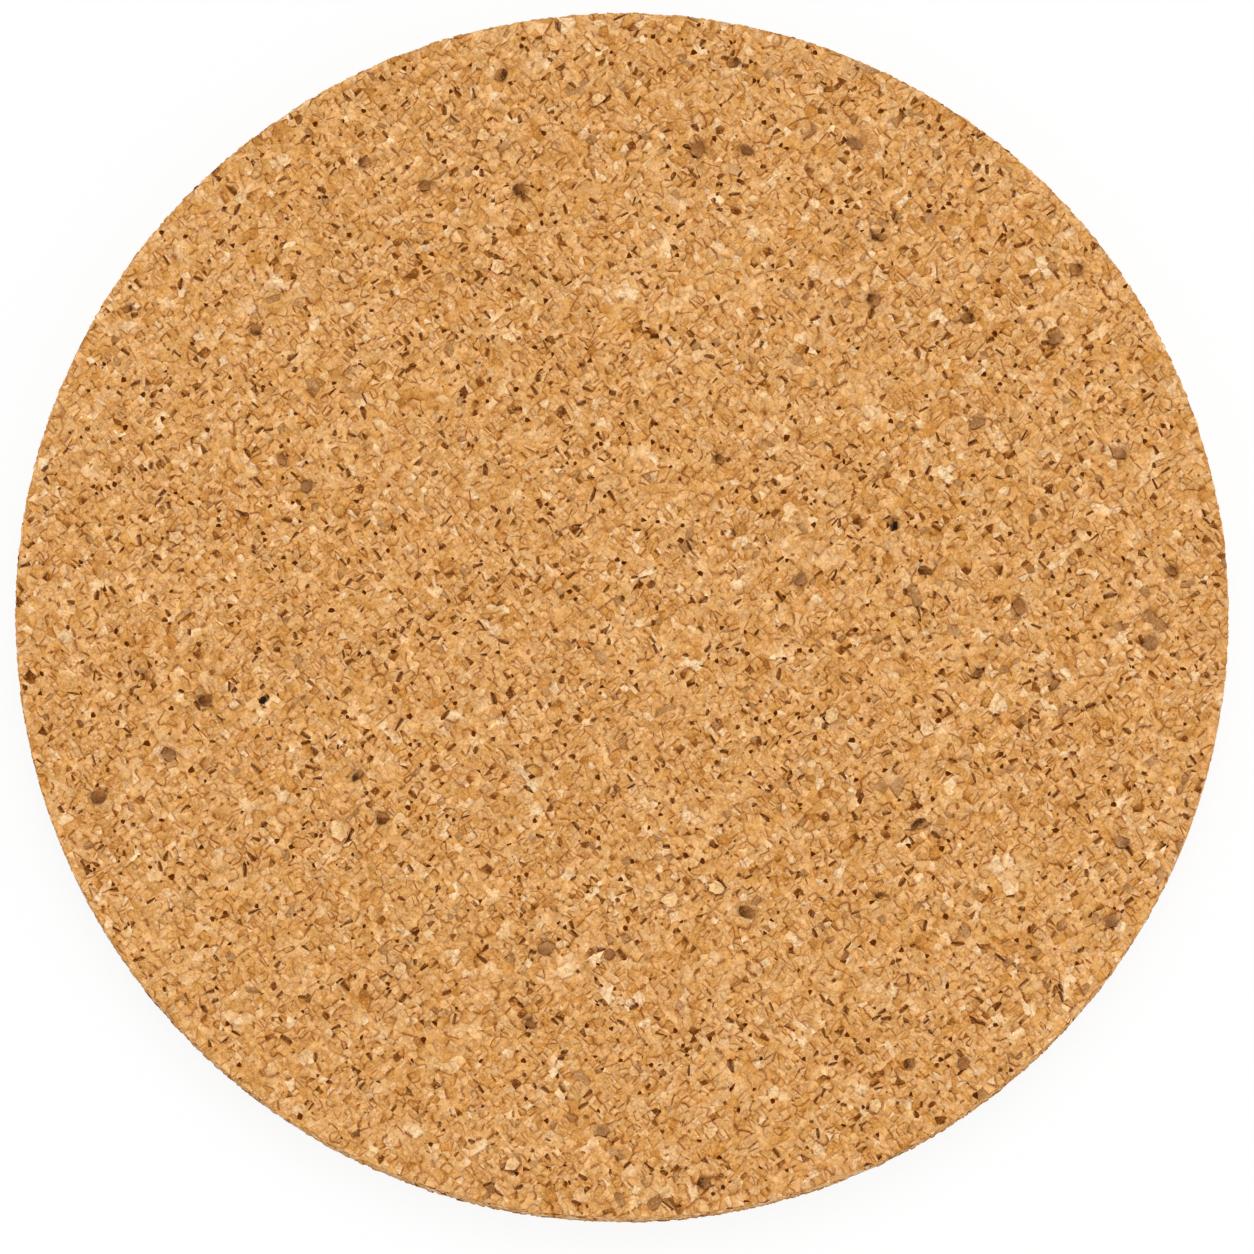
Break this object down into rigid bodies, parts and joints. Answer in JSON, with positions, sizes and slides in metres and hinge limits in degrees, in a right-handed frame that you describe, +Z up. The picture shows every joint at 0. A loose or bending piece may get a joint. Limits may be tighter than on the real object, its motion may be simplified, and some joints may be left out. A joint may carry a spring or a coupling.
{
  "type": "cork coaster",
  "caption": "Round flat coaster of pressed cork granulate, with coarse bark, grey and pale granules bedded flush in its top face, for standing a cup or glass on a table.",
  "frame": {"origin": "centre of the flat underside, on the surface that the coaster lies on", "axes": "+Z up through the thickness, +X to the right and +Y to the top of the pictured top face"},
  "size_m": [0.1, 0.1, 0.005],
  "materials": {
    "ground_cork": "dry matt pressed cork granulate",
    "bark_cork": "dry matt brown bark",
    "black_bark": "dry matt black bark",
    "grey_cork": "dry matt grey-brown cork",
    "pale_cork": "dry matt cream cork"
  },
  "bodies": {
    "root": {"granulate_body": "ground_cork", "bark_chip_01": "bark_cork", "bark_chip_02": "bark_cork", "bark_chip_03": "bark_cork", "bark_chip_04": "bark_cork", "bark_chip_05": "bark_cork", "bark_chip_06": "bark_cork", "bark_chip_07": "bark_cork", "bark_chip_08": "bark_cork", "bark_chip_09": "bark_cork", "bark_chip_10": "bark_cork", "bark_chip_11": "bark_cork", "bark_chip_12": "bark_cork", "bark_chip_13": "bark_cork", "bark_chip_14": "bark_cork", "bark_chip_15": "bark_cork", "bark_chip_16": "bark_cork", "bark_chip_17": "bark_cork", "bark_chip_18": "bark_cork", "bark_chip_19": "bark_cork", "bark_chip_20": "bark_cork", "bark_chip_21": "bark_cork", "bark_chip_22": "bark_cork", "bark_chip_23": "bark_cork", "bark_chip_24": "bark_cork", "bark_chip_25": "bark_cork", "bark_chip_26": "bark_cork", "bark_chip_27": "bark_cork", "bark_chip_28": "bark_cork", "bark_chip_29": "bark_cork", "bark_chip_30": "bark_cork", "bark_chip_31": "bark_cork", "bark_chip_32": "bark_cork", "bark_chip_33": "bark_cork", "black_bark_chip_01": "black_bark", "black_bark_chip_02": "black_bark", "grey_granule_01": "grey_cork", "grey_granule_02": "grey_cork", "grey_granule_03": "grey_cork", "grey_granule_04": "grey_cork", "grey_granule_05": "grey_cork", "grey_granule_06": "grey_cork", "grey_granule_07": "grey_cork", "grey_granule_08": "grey_cork", "grey_granule_09": "grey_cork", "grey_granule_10": "grey_cork", "grey_granule_11": "grey_cork", "grey_granule_12": "grey_cork", "pale_granule_01": "pale_cork", "pale_granule_02": "pale_cork", "pale_granule_03": "pale_cork", "pale_granule_04": "pale_cork", "pale_granule_05": "pale_cork", "pale_granule_06": "pale_cork", "pale_granule_07": "pale_cork", "pale_granule_08": "pale_cork", "pale_granule_09": "pale_cork", "pale_granule_10": "pale_cork", "pale_granule_11": "pale_cork"}
  },
  "joints": []
}
